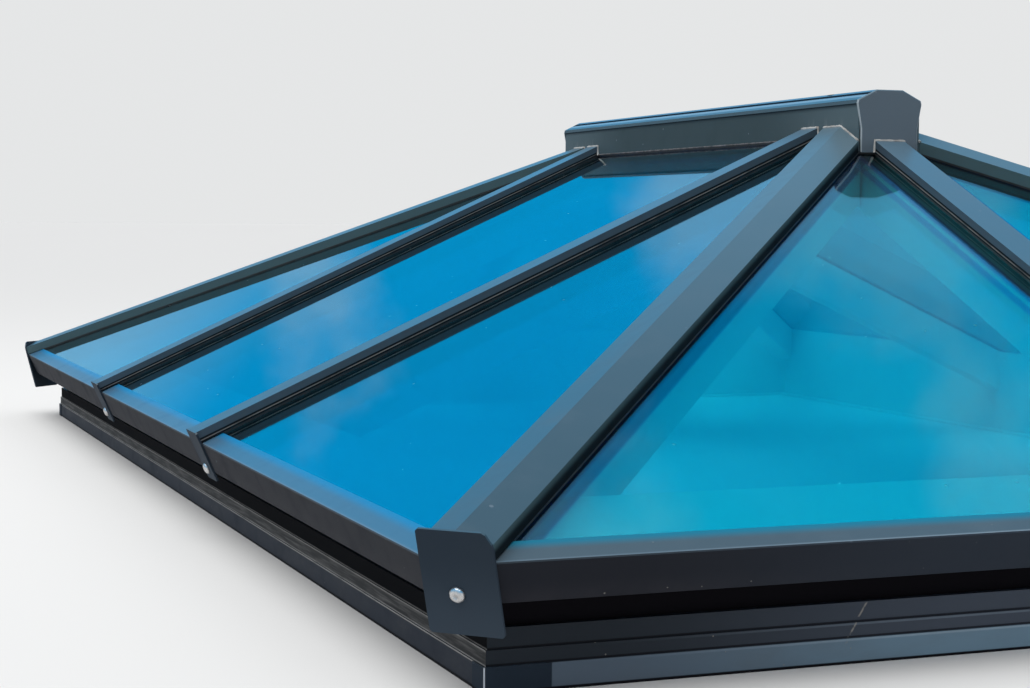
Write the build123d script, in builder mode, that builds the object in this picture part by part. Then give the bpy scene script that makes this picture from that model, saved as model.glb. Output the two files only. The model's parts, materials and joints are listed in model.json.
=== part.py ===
from build123d import *
from math import atan, cos, radians, sin, sqrt, tan
import os

# Hipped roof skylight: sealed glass units on an aluminium frame, in millimetres and degrees.
# +Z is up, +Y runs along the ridge, and the origin is the middle of the underside.

# Overall sizes, over the faces of the eaves trims
width = 2050.0              # short sides, along X
length = 3000.0             # long sides, along Y
pitch = 24.4                # all four slopes
bar_to_hip = 41.0           # side bar to the point where two hips meet, along Y

# Roof build-up, square to the slope. The face of the eaves trim is height zero
sheet = 1.5                 # folded trims, and so the depth of the glass below them
outer_pane = 6.0
cavity = 14.0
inner_pane = 4.0
inner_gasket = 3.0
outer_gasket = 3.0
gasket_width = 8.0
edge_clear = 6.0            # glass edge to the rib between two units
hip_clear = 14.0            # the same at a hip, where the units lean together
glass_edge = 11.5           # glass edge behind the face of the eaves trim
pane_tip = 16.0             # blunted point of a triangular unit
frame_tip = 2.0             # and of the spacer and gasket frames inside it
spacer_width = 11.0
spacer_inset = 1.0
gasket_inset = 3.0

# Rafters
bar_width = 50.0
bar_depth = 75.0
bar_wall = 3.0
bar_edge = 3.0              # bevel along the lower edges
rib = 8.0                   # rib that stands between two units
hip_width = 50.0
hip_depth = 70.0

# Caps over the bars
cap_width = 51.0
cap_height = 17.8
cap_wall = 2.5
cap_lip = 0.8
cap_lip_height = 3.5

# Caps over the hips
hip_cap_width = 74.4
hip_cap_rise = 17.9         # arris above the line where two slopes meet, square to the hip

# Eaves beam: a plain band at the foot, two bands stepped back above it and a recess
flat_set = 67.5             # plain band, in from the face of the trim
flat_height = 26.7
band_step = 2.0
band_low_height = 15.7
band_high_height = 20.8
recess_step = 8.5
eaves_drop = 76.0           # upper band to the edge of the trim
beam_width = 70.0
beam_wall = 3.0
shelf = 4.0
lip = 3.0
foot_flange = 25.0
foot_thick = 4.0
seal_width = 12.0
seal_thick = 2.0
seal_inset = 27.5           # plain band to the middle of the seal

# Eaves trim
strip_width = 34.0
face_height = 46.5
return_width = 10.0
fold = 1.2                  # bevel that stands for the bend of the sheet
trim_gap = 12.0             # between two lengths, under the foot of a bar cap
trim_clear = 1.0            # beside the block in a corner

# Ridge
ridge_beam_width = 60.0
ridge_beam_extra = 8.0      # below the rafters that land on it
ridge_beam_wall = 3.0
ridge_beam_crown = 9.0      # solid top under the upright
upright = 20.0
housing_width = 106.6
housing_wall = 3.0
ridge_cap_over = 1.3        # cap beyond each side of the housing
ridge_cap_wall = 2.5
ridge_flat = 45.4
ridge_rise = 48.05          # flat top above the line where the planes of the trims meet
ridge_shoulder = 15.5       # fall from the flat to the edge
ridge_lip = 5.5
end_thick = 3.0
end_flare = 1.4
end_waist_in = 4.3          # sides of the end cap inside those of the housing
end_waist_drop = 58.0
end_bevel = 1.5

# Plates over the ends of the caps, their screws, and the corner pieces
plate_thick = 3.0
plate_corner = 2.5          # clipped corners
bar_plate_top = 18.5
bar_plate_bottom = 58.0
bar_plate_width = 64.0
bar_plate_foot = 58.0
bar_screw_drop = 40.0
corner_inset = 32.0         # corner of the trim planes to the plate, along the hip
corner_clear = 3.0          # plate to the blunted corners of the glass
corner_plate_width = 78.0
corner_plate_top = 20.0
corner_plate_bottom = 88.0
corner_chamfer = 8.0
corner_chamfer_height = 14.0
corner_screw_side = 4.0      # towards the square top corner of the plate
corner_screw_drop = 45.5
corner_block_depth = 18.0
corner_block_width = 34.0
corner_block_drop = 60.0
screw_head = 13.5           # proud heads, bevelled from the rim to a small flat crown
screw_height = 5.4
screw_rim = 2.2
screw_crown = 7.5
screw_shank = 5.0
screw_length = 14.0
screw_flats = 8             # flats that stand for the thread
screw_socket = 3.0
screw_socket_depth = 1.8
screw_clear = 0.6
cover_thick = 1.0
cover_long = 70.0
cover_short = 33.0
cover_round = 1.5
cleat_thick = 8.0
cleat_leg = 90.0
cleat_clear = 0.3

# Fixing holes through the foot flange
fixing_hole = 7.0
fixing_end = 260.0          # corner of the trim planes to the first hole
fixing_spacing = 400.0

# Worked out from the sizes above
rise = tan(radians(pitch))
across = cos(radians(pitch))
upward = sin(radians(pitch))
hip_stretch = sqrt(2 + rise ** 2)               # length of a hip for each unit of plan distance
hip_fall = rise / hip_stretch                   # slope of the glass in a section square to the hip
hip_cos = cos(atan(hip_fall))
edge_stretch = sqrt(1 + across ** 2)
bands_top = flat_height + band_low_height + band_high_height
band_low_set = flat_set + band_step
band_high_set = band_low_set + band_step
recess_set = band_high_set + recess_step
chamber_out = band_high_set + beam_wall
seal_set = flat_set + seal_inset
eaves_z = bands_top + eaves_drop
glass_thick = outer_pane + cavity + inner_pane
deck = sheet + glass_thick + inner_gasket       # depth of the seats for the inner gaskets
seal_top = outer_gasket - sheet
inner_set = flat_set + beam_width
chamber_in = inner_set - beam_wall
ridge_half = (length - width) / 2
apex_z = eaves_z + width / 2 * rise
bar_place = ridge_half - bar_to_hip
beam_end = ridge_half + ridge_beam_width / 2 + hip_width / sqrt(2)
housing_end = ridge_half + housing_width / 2 + hip_cap_width / sqrt(2)
ridge_cap_width = housing_width + 2 * ridge_cap_over
end_waist = housing_width - 2 * end_waist_in
slope_length = width / 2 / across
top_z = apex_z + ridge_rise
corner_behind = corner_inset + plate_thick      # back of a corner plate, where the corner is cut

sides = {
    "front": (Vector(1, 0, 0), Vector(0, 1, 0), width / 2, length / 2),
    "right": (Vector(0, 1, 0), Vector(-1, 0, 0), length / 2, width / 2),
    "back": (Vector(-1, 0, 0), Vector(0, -1, 0), width / 2, length / 2),
    "left": (Vector(0, -1, 0), Vector(1, 0, 0), length / 2, width / 2),
}
bars = {
    "front": {"front": 0.0},
    "right": {"right_front": -bar_place, "right_back": bar_place},
    "back": {"back": 0.0},
    "left": {"left_back": -bar_place, "left_front": bar_place},
}
bays = {
    "front": ("front_left", "front_right"),
    "right": ("right_front", "right_middle", "right_back"),
    "back": ("back_right", "back_left"),
    "left": ("left_back", "left_middle", "left_front"),
}
corners = {
    "front_left": (-1, -1),
    "front_right": (1, -1),
    "back_right": (1, 1),
    "back_left": (-1, 1),
}

os.makedirs("parts", exist_ok=True)


def finish(name, part):
    """Label a finished piece and write it under its own name."""
    part.label = name
    export_step(part, "parts/" + name + ".step")


def place(side, along, inset, height):
    """A point given from the middle of a side's trim edge, in from it and above the underside."""
    direction, inward, _, reach = sides[side]
    return direction * along + inward * (inset - reach) + Vector(0, 0, height)


def section_plane(side, along=0.0):
    """Upright plane square to a side: x runs in from the trim edge and y runs up."""
    direction, inward, _, _ = sides[side]
    return Plane(origin=place(side, along, 0, 0), x_dir=inward, z_dir=direction)


def slope_plane(side, height=0.0):
    """Plane of a slope: x along the eaves, y up the slope, at a height square to it."""
    direction, inward, _, _ = sides[side]
    normal = inward * -upward + Vector(0, 0, across)
    return Plane(origin=place(side, 0, 0, eaves_z), x_dir=direction, z_dir=normal).offset(height)


def rafter_plane(side, along):
    """Plane square to a bar at the trim edge: y is the height square to the slope."""
    direction, inward, _, _ = sides[side]
    climb = inward * across + Vector(0, 0, upward)
    return Plane(origin=place(side, along, 0, eaves_z), x_dir=direction * -1, z_dir=climb)


def hip_plane(corner, start=0.0):
    """Plane square to a hip, at a distance along it from the corner of the trim planes."""
    sx, sy = corners[corner]
    climb = Vector(-sx, -sy, rise).normalized()
    origin = Vector(sx * width / 2, sy * length / 2, eaves_z) + climb * start
    return Plane(origin=origin, x_dir=Vector(sy, -sx, 0), z_dir=climb)


def in_section(run, height):
    """Section point from its distance up the slope and its height square to the slope."""
    return (run * across - height * upward, eaves_z + run * upward + height * across)


def under_slope(inset, depth):
    """Height above the underside of a plane that lies a depth below the slope."""
    return eaves_z + inset * rise - depth / across


def bay_outline(side, bay, bar_gap, hip_gap, low, high):
    """Four corners of a bay on its slope, held back from its bars and hips."""
    half = sides[side][2]
    places = list(bars[side].values())

    def bound(number, sign, level):
        if 0 <= number < len(places):
            return places[number] + sign * bar_gap
        return -sign * (half - level * across - hip_gap * edge_stretch)

    left = [bound(bay - 1, 1, low), bound(bay - 1, 1, high)]
    right = [bound(bay, -1, low), bound(bay, -1, high)]
    return [(left[0], low), (right[0], low), (right[1], high), (left[1], high)]


def is_end(side):
    """True for the short sides, whose units are triangles."""
    return side in ("front", "back")


def align_for(sign):
    """Alignment that makes a rectangle reach inwards from a corner."""
    return Align.MAX if sign > 0 else Align.MIN


# Space under the roof planes, used to fit the foot of the ridge to the glass
def below_slopes(height):
    with BuildPart() as space:
        with BuildSketch():
            Rectangle(2 * width, 2 * length)
        extrude(amount=2 * top_z)
        for side in sides:
            split(bisect_by=slope_plane(side, height), keep=Keep.BOTTOM)
    return space.part


with BuildPart() as housing_space:
    with BuildSketch(Plane.XY.offset(eaves_z)):
        Rectangle(housing_width, 2 * housing_end)
    extrude(amount=top_z)
    add(below_slopes(seal_top), mode=Mode.SUBTRACT)

with BuildPart() as beam_space:
    with BuildSketch():
        Rectangle(ridge_beam_width, 2 * beam_end)
    extrude(amount=2 * top_z)


# Eaves beam: stepped outer face, sloped shelf with a down-turned lip, two chambers, foot flange
def eaves_beam(side):
    direction, inward, half, _ = sides[side]
    lip_back = sheet + lip
    with BuildPart() as beam:
        with BuildSketch(section_plane(side)):
            with BuildLine():
                Polyline(
                    (flat_set, 0),
                    (flat_set, flat_height),
                    (band_low_set, flat_height),
                    (band_low_set, flat_height + band_low_height),
                    (band_high_set, flat_height + band_low_height),
                    (band_high_set, bands_top),
                    (recess_set, bands_top),
                    (recess_set, under_slope(recess_set, deck + shelf)),
                    in_section(lip_back, -deck - shelf),
                    in_section(lip_back, sheet - face_height),
                    in_section(sheet, sheet - face_height),
                    in_section(sheet, -deck),
                    (inner_set, under_slope(inner_set, deck)),
                    (inner_set, foot_thick),
                    (inner_set + foot_flange, foot_thick),
                    (inner_set + foot_flange, 0),
                    close=True,
                )
            make_face()
            with BuildLine():
                Polyline(
                    (chamber_out, foot_thick),
                    (chamber_in, foot_thick),
                    (chamber_in, bands_top - beam_wall),
                    (chamber_out, bands_top - beam_wall),
                    close=True,
                )
            make_face(mode=Mode.SUBTRACT)
            with BuildLine():
                Polyline(
                    (recess_set + beam_wall, bands_top),
                    (chamber_in, bands_top),
                    (chamber_in, under_slope(chamber_in, deck + beam_wall)),
                    (recess_set + beam_wall, under_slope(recess_set + beam_wall, deck + beam_wall)),
                    close=True,
                )
            make_face(mode=Mode.SUBTRACT)
            with Locations((seal_set, seal_thick / 2)):
                Rectangle(seal_width, seal_thick, mode=Mode.SUBTRACT)
        extrude(amount=half, both=True)
        for end in (-1, 1):
            mitre = Plane(origin=place(side, end * half, 0, 0), z_dir=direction * -end - inward)
            split(bisect_by=mitre, keep=Keep.TOP)
        for corner in corners:
            split(bisect_by=hip_plane(corner, corner_behind), keep=Keep.TOP)
        holes = int((2 * half - 2 * fixing_end) / fixing_spacing) + 1
        pitch_of_holes = (2 * half - 2 * fixing_end) / (holes - 1)
        flange_top = Plane(
            origin=place(side, 0, inner_set + foot_flange / 2, foot_thick),
            x_dir=direction,
            z_dir=(0, 0, 1),
        )
        with Locations(flange_top):
            with GridLocations(pitch_of_holes, 1, holes, 1):
                Hole(radius=fixing_hole / 2, depth=foot_thick)
        for along in bars[side].values():
            with Locations(rafter_plane(side, along).offset(lip_back)):
                with Locations((0, -bar_screw_drop)):
                    Hole(radius=(screw_shank + screw_clear) / 2, depth=lip)
    return beam.part


for side in sides:
    finish("eaves_beam_" + side, eaves_beam(side))

with BuildPart() as kerb_seal:
    with BuildSketch():
        Rectangle(width - 2 * seal_set + seal_width, length - 2 * seal_set + seal_width)
        Rectangle(
            width - 2 * seal_set - seal_width,
            length - 2 * seal_set - seal_width,
            mode=Mode.SUBTRACT,
        )
    extrude(amount=seal_thick)
finish("kerb_seal", kerb_seal.part)


# Angle cleats inside the mitres of the eaves beam
with BuildPart() as corner_cleats:
    cleat_out = chamber_out + cleat_clear
    cleat_height = bands_top - beam_wall - foot_thick - 2 * cleat_clear
    with BuildSketch(Plane.XY.offset(foot_thick + cleat_clear)):
        for sx, sy in corners.values():
            with Locations((sx * (width / 2 - cleat_out), sy * (length / 2 - cleat_out))):
                Rectangle(cleat_leg, cleat_thick, align=(align_for(sx), align_for(sy)))
                Rectangle(cleat_thick, cleat_leg, align=(align_for(sx), align_for(sy)))
    extrude(amount=cleat_height)
finish("corner_cleats", corner_cleats.part)


# Eaves trims: a strip on the glass, a face square to the slope and a return under the lip
def eaves_trim(side, start, end):
    direction, inward, half, _ = sides[side]
    with BuildPart() as trim:
        with BuildSketch(section_plane(side, start)):
            with BuildLine():
                Polyline(
                    in_section(strip_width, 0),
                    in_section(fold, 0),
                    in_section(0, -fold),
                    in_section(0, fold - face_height),
                    in_section(fold, -face_height),
                    in_section(return_width, -face_height),
                    in_section(return_width, sheet - face_height),
                    in_section(sheet, sheet - face_height),
                    in_section(sheet, -sheet),
                    in_section(strip_width, -sheet),
                    close=True,
                )
            make_face()
        extrude(amount=end - start)
        for sign in (-1, 1):
            away = direction * -sign - inward
            mitre = Plane(origin=place(side, sign * half, 0, 0), z_dir=away)
            split(bisect_by=mitre.offset(corner_block_width / 2 + trim_clear), keep=Keep.TOP)
        for corner in corners:
            split(bisect_by=hip_plane(corner, corner_behind), keep=Keep.TOP)
    return trim.part


for side, names in bays.items():
    stops = [-sides[side][2]] + list(bars[side].values()) + [sides[side][2]]
    for bay, name in enumerate(names):
        start = stops[bay] + (trim_gap / 2 if bay > 0 else 0)
        end = stops[bay + 1] - (trim_gap / 2 if bay < len(names) - 1 else 0)
        finish("eaves_trim_" + name, eaves_trim(side, start, end))


# Glazing bars: a box under the glass, and a rib that runs out over the eaves beam
def glazing_bar(side, along):
    _, inward, _, _ = sides[side]
    rib_top = cap_height - cap_wall
    with BuildPart() as bar:
        with BuildSketch(rafter_plane(side, along)) as tube:
            with Locations((0, -deck - bar_depth / 2)):
                Rectangle(bar_width, bar_depth)
            chamfer(tube.vertices().group_by(Axis.Y)[0], bar_edge)
            with Locations((0, -deck - bar_depth / 2)):
                Rectangle(bar_width - 2 * bar_wall, bar_depth - 2 * bar_wall, mode=Mode.SUBTRACT)
        extrude(amount=slope_length)
        split(bisect_by=Plane(origin=place(side, 0, inner_set, 0), z_dir=inward), keep=Keep.TOP)
        with BuildSketch(rafter_plane(side, along)):
            with Locations((0, (rib_top - deck) / 2)):
                Rectangle(rib, rib_top + deck)
        extrude(amount=slope_length)
        split(bisect_by=Plane(origin=(0, 0, 0), z_dir=inward), keep=Keep.BOTTOM)
        add(housing_space.part, mode=Mode.SUBTRACT)
        add(beam_space.part, mode=Mode.SUBTRACT)
    return bar.part


def bar_cap(side, along):
    half_cap = cap_width / 2
    with BuildPart() as cap:
        with BuildSketch(rafter_plane(side, along)):
            with BuildLine():
                Polyline(
                    (0, cap_height),
                    (half_cap, cap_height),
                    (half_cap, seal_top + cap_lip_height),
                    (half_cap + cap_lip, seal_top + cap_lip_height),
                    (half_cap + cap_lip, seal_top),
                    (half_cap - cap_wall, seal_top),
                    (half_cap - cap_wall, cap_height - cap_wall),
                    (0, cap_height - cap_wall),
                )
                mirror(about=Plane.YZ)
            make_face()
        extrude(amount=slope_length)
        add(housing_space.part, mode=Mode.SUBTRACT)
    return cap.part


for side in sides:
    for name, along in bars[side].items():
        finish("glazing_bar_" + name, glazing_bar(side, along))
        finish("bar_cap_" + name, bar_cap(side, along))


# Hip rafters and their caps, in a section square to the hip
def under_hip(offset, height):
    """Height in the hip section of a plane that lies a height square to both slopes."""
    return height / hip_cos - abs(offset) * hip_fall


def hip_rafter(corner):
    run = width / 2 * hip_stretch - corner_behind
    half_hip = hip_width / 2
    foot = under_hip(half_hip, -deck) - hip_depth
    rib_top = hip_cap_rise - cap_wall / hip_cos
    with BuildPart() as rafter:
        with BuildSketch(hip_plane(corner, corner_behind)):
            with BuildLine():
                Polyline(
                    (0, under_hip(0, -deck)),
                    (half_hip, under_hip(half_hip, -deck)),
                    (half_hip, foot + bar_edge),
                    (half_hip - bar_edge, foot),
                    (0, foot),
                )
                mirror(about=Plane.YZ)
            make_face()
            inside = half_hip - bar_wall
            with BuildLine():
                Polyline(
                    (0, under_hip(0, -deck - bar_wall)),
                    (inside, under_hip(inside, -deck - bar_wall)),
                    (inside, foot + bar_wall),
                    (0, foot + bar_wall),
                )
                mirror(about=Plane.YZ)
            make_face(mode=Mode.SUBTRACT)
        extrude(amount=run)
        with BuildSketch():
            Rectangle(width - 2 * inner_set, length - 2 * inner_set)
        extrude(amount=2 * top_z, mode=Mode.INTERSECT)
        with BuildSketch(hip_plane(corner, corner_behind)):
            with BuildLine():
                Polyline(
                    (0, under_hip(0, -deck)),
                    (rib / 2, under_hip(rib / 2, -deck)),
                    (rib / 2, rib_top - rib / 2 * hip_fall),
                    (0, rib_top),
                )
                mirror(about=Plane.YZ)
            make_face()
        extrude(amount=run)
        split(bisect_by=Plane.YZ, keep=Keep.TOP if corners[corner][0] > 0 else Keep.BOTTOM)
        add(housing_space.part, mode=Mode.SUBTRACT)
        add(beam_space.part, mode=Mode.SUBTRACT)
    return rafter.part


def hip_cap(corner):
    half_cap = hip_cap_width / 2
    inside = half_cap - cap_wall
    with BuildPart() as cap:
        with BuildSketch(hip_plane(corner, corner_behind)):
            with BuildLine():
                Polyline(
                    (0, hip_cap_rise),
                    (half_cap, hip_cap_rise - half_cap * hip_fall),
                    (half_cap, under_hip(half_cap, seal_top)),
                    (inside, under_hip(inside, seal_top)),
                    (inside, hip_cap_rise - cap_wall / hip_cos - inside * hip_fall),
                    (0, hip_cap_rise - cap_wall / hip_cos),
                )
                mirror(about=Plane.YZ)
            make_face()
        extrude(amount=width / 2 * hip_stretch - corner_behind)
        add(housing_space.part, mode=Mode.SUBTRACT)
    return cap.part


for corner in corners:
    finish("hip_rafter_" + corner, hip_rafter(corner))
    finish("hip_cap_" + corner, hip_cap(corner))


# Ridge beam: a box whose top follows the slopes, with an upright that carries the housing
housing_top = top_z - ridge_cap_wall
rafter_foot = under_slope(width / 2 - ridge_beam_width / 2, deck + bar_depth)
with BuildPart() as ridge_beam:
    beam_low = rafter_foot - ridge_beam_extra
    beam_high = under_slope(width / 2 - ridge_beam_width / 2, deck)
    with BuildSketch(Plane.XY.offset(beam_low)):
        Rectangle(ridge_beam_width, 2 * beam_end)
    extrude(amount=top_z)
    for side in sides:
        split(bisect_by=slope_plane(side, -deck), keep=Keep.BOTTOM)
    hollow_low = beam_low + ridge_beam_wall
    hollow_high = beam_high - ridge_beam_crown
    with BuildSketch(Plane.XZ):
        with Locations((0, (hollow_low + hollow_high) / 2)):
            Rectangle(ridge_beam_width - 2 * ridge_beam_wall, hollow_high - hollow_low)
    extrude(amount=length, both=True, mode=Mode.SUBTRACT)
    with BuildSketch(Plane.XY.offset(beam_high - ridge_beam_wall)):
        Rectangle(upright, 2 * ridge_half + upright)
    extrude(amount=housing_top - housing_wall - beam_high + ridge_beam_wall)
finish("ridge_beam", ridge_beam.part)


# Ridge housing and the cap over it, as folded channels
cap_edge = top_z - ridge_shoulder
slant = ridge_shoulder / (ridge_cap_width / 2 - ridge_flat / 2)
run_end = housing_end - end_thick
with BuildPart() as ridge_housing:
    with BuildSketch(Plane.XZ.offset(-run_end)):
        half_out = housing_width / 2
        half_in = half_out - housing_wall
        with BuildLine():
            Polyline(
                (0, housing_top),
                (ridge_flat / 2, housing_top),
                (half_out, housing_top - (half_out - ridge_flat / 2) * slant),
                (half_out, eaves_z),
                (half_in, eaves_z),
                (half_in, housing_top - housing_wall - (half_in - ridge_flat / 2) * slant),
                (ridge_flat / 2, housing_top - housing_wall),
                (0, housing_top - housing_wall),
            )
            mirror(about=Plane.YZ)
        make_face()
    extrude(amount=2 * run_end)
    add(below_slopes(seal_top), mode=Mode.SUBTRACT)
finish("ridge_housing", ridge_housing.part)

with BuildPart() as ridge_cap:
    with BuildSketch(Plane.XZ.offset(-run_end)):
        half_out = ridge_cap_width / 2
        half_in = housing_width / 2
        with BuildLine():
            Polyline(
                (0, top_z),
                (ridge_flat / 2, top_z),
                (half_out, cap_edge),
                (half_out, cap_edge - ridge_lip),
                (half_in, cap_edge - ridge_lip),
                (half_in, housing_top - (half_in - ridge_flat / 2) * slant),
                (ridge_flat / 2, housing_top),
                (0, housing_top),
            )
            mirror(about=Plane.YZ)
        make_face()
    extrude(amount=2 * run_end)
finish("ridge_cap", ridge_cap.part)

for name, facing in (("front", -1), ("back", 1)):
    with BuildPart() as ridge_end:
        face = Plane(origin=(0, facing * run_end, 0), x_dir=(1, 0, 0), z_dir=(0, facing, 0))
        tall = facing * -1
        with BuildSketch(face):
            with BuildLine():
                Polyline(
                    (0, tall * top_z),
                    (ridge_flat / 2, tall * top_z),
                    (ridge_cap_width / 2, tall * cap_edge),
                    (ridge_cap_width / 2 + end_flare, tall * (cap_edge - ridge_lip)),
                    (end_waist / 2, tall * (top_z - end_waist_drop)),
                    (end_waist / 2, tall * eaves_z),
                    (0, tall * eaves_z),
                )
                mirror(about=Plane.YZ)
            make_face()
        extrude(amount=end_thick)
        chamfer(ridge_end.faces().sort_by(Axis.Y)[-1 if facing > 0 else 0].edges(), end_bevel)
        add(below_slopes(seal_top), mode=Mode.SUBTRACT)
    finish("ridge_end_" + name, ridge_end.part)


# Plates over the ends of the caps
with BuildPart() as bar_end_plates:
    for side in sides:
        direction, inward, _, _ = sides[side]
        for along in bars[side].values():
            with BuildSketch(rafter_plane(side, along).offset(-plate_thick)) as plate:
                with BuildLine():
                    Polyline(
                        (-bar_plate_width / 2, bar_plate_top),
                        (bar_plate_width / 2, bar_plate_top),
                        (bar_plate_foot / 2, -bar_plate_bottom),
                        (-bar_plate_foot / 2, -bar_plate_bottom),
                        close=True,
                    )
                make_face()
                chamfer(plate.vertices(), plate_corner)
                with Locations((0, -bar_screw_drop)):
                    Circle((screw_shank + screw_clear) / 2, mode=Mode.SUBTRACT)
            extrude(amount=plate_thick)
finish("bar_end_plates", bar_end_plates.part)

with BuildPart() as corner_plates:
    for corner in corners:
        half_plate = corner_plate_width / 2
        with BuildSketch(hip_plane(corner, corner_inset)) as plate:
            with BuildLine():
                Polyline(
                    (half_plate, corner_plate_top),
                    (corner_chamfer - half_plate, corner_plate_top),
                    (-half_plate, corner_plate_top - corner_chamfer_height),
                    (-half_plate, -corner_plate_bottom),
                    (half_plate, -corner_plate_bottom),
                    close=True,
                )
            make_face()
            chamfer(plate.vertices(), plate_corner)
            with Locations((corner_screw_side, -corner_screw_drop)):
                Circle((screw_shank + screw_clear) / 2, mode=Mode.SUBTRACT)
        extrude(amount=plate_thick)
finish("corner_plates", corner_plates.part)

# Blocks in the corners of the shelf that take the screws of the corner plates
with BuildPart() as corner_blocks:
    for corner in corners:
        crest = under_hip(0, -deck - shelf)
        with BuildSketch(hip_plane(corner, corner_behind)):
            with BuildLine():
                Polyline(
                    (0, crest),
                    (corner_block_width / 2, under_hip(corner_block_width / 2, -deck - shelf)),
                    (corner_block_width / 2, -corner_block_drop),
                    (0, -corner_block_drop),
                )
                mirror(about=Plane.YZ)
            make_face()
            with Locations((corner_screw_side, -corner_screw_drop)):
                Circle((screw_shank + screw_clear) / 2, mode=Mode.SUBTRACT)
        extrude(amount=corner_block_depth)
finish("corner_blocks", corner_blocks.part)

screw_places = []
for corner in corners:
    screw_places.append((hip_plane(corner, corner_inset), corner_screw_side, corner_screw_drop))
for side in sides:
    for along in bars[side].values():
        screw_places.append((rafter_plane(side, along).offset(-plate_thick), 0, bar_screw_drop))

with BuildPart() as plate_screws:
    for face, aside, drop in screw_places:
        seat = Plane(
            origin=face.from_local_coords((aside, -drop, 0)),
            x_dir=face.x_dir,
            z_dir=face.z_dir * -1,
        )
        with BuildSketch(Plane(origin=seat.origin, x_dir=seat.x_dir, z_dir=seat.y_dir * -1)):
            with BuildLine():
                Polyline(
                    (0, 0),
                    (screw_head / 2, 0),
                    (screw_head / 2, screw_rim),
                    (screw_crown / 2, screw_height),
                    (0, screw_height),
                    close=True,
                )
            make_face()
        revolve(axis=Axis(seat.origin, seat.z_dir))
        with BuildSketch(seat):
            RegularPolygon(screw_shank / 2, screw_flats)
        extrude(amount=-screw_length)
        with BuildSketch(seat.offset(screw_height)):
            RegularPolygon(screw_socket / 2, 6)
        extrude(amount=-screw_socket_depth, mode=Mode.SUBTRACT)
finish("plate_screws", plate_screws.part)

# Covers over the mitres, on the plain band at the foot of the beam
with BuildPart() as corner_covers:
    for sx, sy in corners.values():
        reach = (align_for(sx), align_for(sy))
        outer = flat_set - cover_thick
        with BuildSketch() as wrap:
            with Locations((sx * (width / 2 - outer), sy * (length / 2 - outer))):
                Rectangle(cover_long, cover_short, align=reach)
            fillet(wrap.vertices().sort_by_distance((0, 0))[-1], cover_round)
            with Locations((sx * (width / 2 - flat_set), sy * (length / 2 - flat_set))):
                Rectangle(cover_long, cover_short, align=reach, mode=Mode.SUBTRACT)
        extrude(amount=flat_height)
finish("corner_covers", corner_covers.part)


# Glass units, their spacers and the gaskets on both faces
bar_gap = rib / 2 + edge_clear
hip_gap = rib / 2 + hip_clear
glass_top = (width / 2 - upright / 2 - edge_clear - (sheet + glass_thick) * upward) / across
hip_plan = sqrt(2) / edge_stretch               # plan distance from a hip to distance on the slope


def pane_edges(side, bay, inset):
    """Outline of a unit, or of a frame that runs at a distance inside its edges."""
    high = glass_top - inset
    if is_end(side):
        point = width / 2 - hip_gap * edge_stretch - bar_gap
        inner_point = point - inset * (edge_stretch + 1)
        high = min((point - pane_tip) / across - inset, (inner_point - frame_tip) / across)
    return bay_outline(side, bay, bar_gap + inset, hip_gap + inset, glass_edge + inset, high)


def sight_edges(side, bay, inset, low):
    """Outline of the glass left in view between the caps, or a little under them."""
    high = (width - housing_width) / 2 / across + inset
    if is_end(side):
        high = (length / 2 - housing_end) / across + inset
    hip = (hip_cap_width / 2 - inset) * hip_plan
    return bay_outline(side, bay, cap_width / 2 - inset, hip, low, high)


def bay_frame(plane, outside, inside, thick):
    """Flat frame between two outlines on a slope, blunted behind the corner plates."""
    with BuildPart() as frame:
        with BuildSketch(plane):
            with BuildLine():
                Polyline(*outside, close=True)
            make_face()
            with BuildLine():
                Polyline(*inside, close=True)
            make_face(mode=Mode.SUBTRACT)
        extrude(amount=thick)
        for corner in corners:
            split(bisect_by=hip_plane(corner, corner_behind + corner_clear), keep=Keep.TOP)
    return frame.part


def glass_unit(side, bay):
    with BuildPart() as unit:
        for depth, pane in ((sheet, outer_pane), (sheet + outer_pane + cavity, inner_pane)):
            with BuildSketch(slope_plane(side, -depth)):
                with BuildLine():
                    Polyline(*pane_edges(side, bay, 0), close=True)
                make_face()
            extrude(amount=-pane)
        for corner in corners:
            split(bisect_by=hip_plane(corner, corner_behind + corner_clear), keep=Keep.TOP)
    return unit.part


spacers = []
inner_gaskets = []
outer_gaskets = []
for side, names in bays.items():
    for bay, name in enumerate(names):
        finish("glass_" + name, glass_unit(side, bay))
        outside = pane_edges(side, bay, spacer_inset)
        inside = pane_edges(side, bay, spacer_inset + spacer_width)
        spacers.append(bay_frame(slope_plane(side, -sheet - outer_pane), outside, inside, -cavity))
        outside = pane_edges(side, bay, gasket_inset)
        inside = pane_edges(side, bay, gasket_inset + gasket_width)
        inner_gaskets.append(bay_frame(slope_plane(side, -deck), outside, inside, inner_gasket))
        outside = sight_edges(side, bay, cap_wall, strip_width)
        inside = sight_edges(side, bay, 0, strip_width - cap_wall)
        outer_gaskets.append(bay_frame(slope_plane(side, -sheet), outside, inside, outer_gasket))

for name, frames in (
    ("unit_spacers", spacers),
    ("inner_gaskets", inner_gaskets),
    ("outer_gaskets", outer_gaskets),
):
    with BuildPart() as group:
        add(frames)
    finish(name, group.part)
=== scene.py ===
import json
import math

import bpy
import numpy as np
from mathutils import Matrix, Vector


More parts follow.
